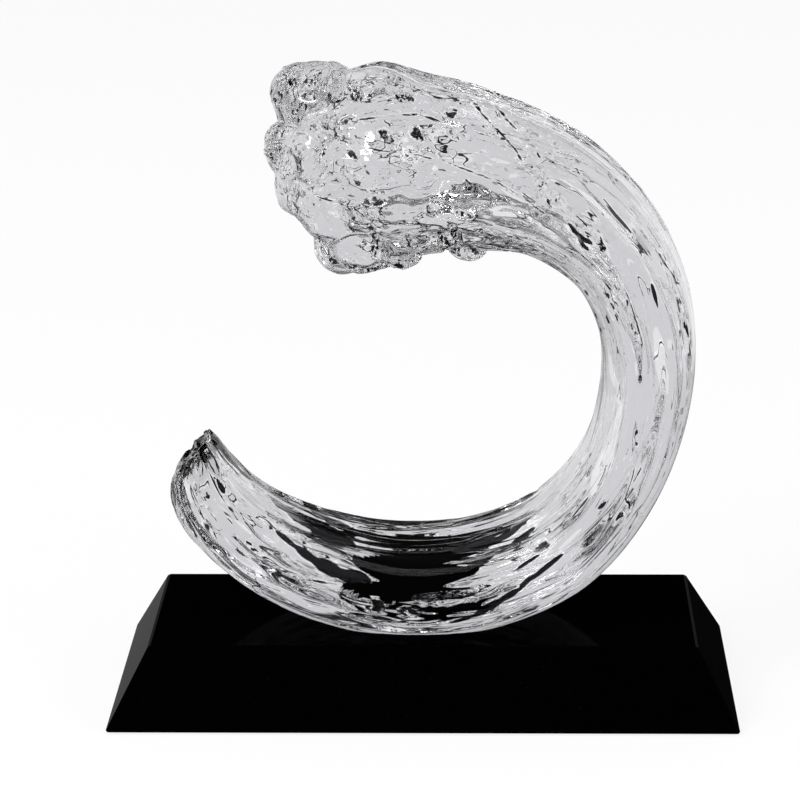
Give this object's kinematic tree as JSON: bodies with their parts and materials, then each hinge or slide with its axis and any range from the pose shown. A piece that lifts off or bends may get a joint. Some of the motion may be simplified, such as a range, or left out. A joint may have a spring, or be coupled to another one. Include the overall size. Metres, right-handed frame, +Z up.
{
  "type": "glass wave sculpture",
  "caption": "Free-standing ornament: a curling, breaking wave of clear glass bonded to a black glass block with slanted sides, on a felt underside.",
  "frame": {"origin": "middle of the underside, on the surface that the ornament stands on", "axes": "+X runs along the black block to the viewer's right, where the wave rises, +Y points away from the viewer and +Z up"},
  "size_m": [0.24, 0.1124, 0.2493],
  "materials": {
    "clear_glass": "fire-polished clear glass with flow streaks and foam",
    "clear_glue": "clear cured adhesive",
    "black_glass": "polished black glass",
    "felt": "short pressed felt"
  },
  "bodies": {
    "root": {"wave": "clear_glass", "glue_film": "clear_glue", "base_block": "black_glass", "felt_sheet": "felt"}
  },
  "joints": []
}
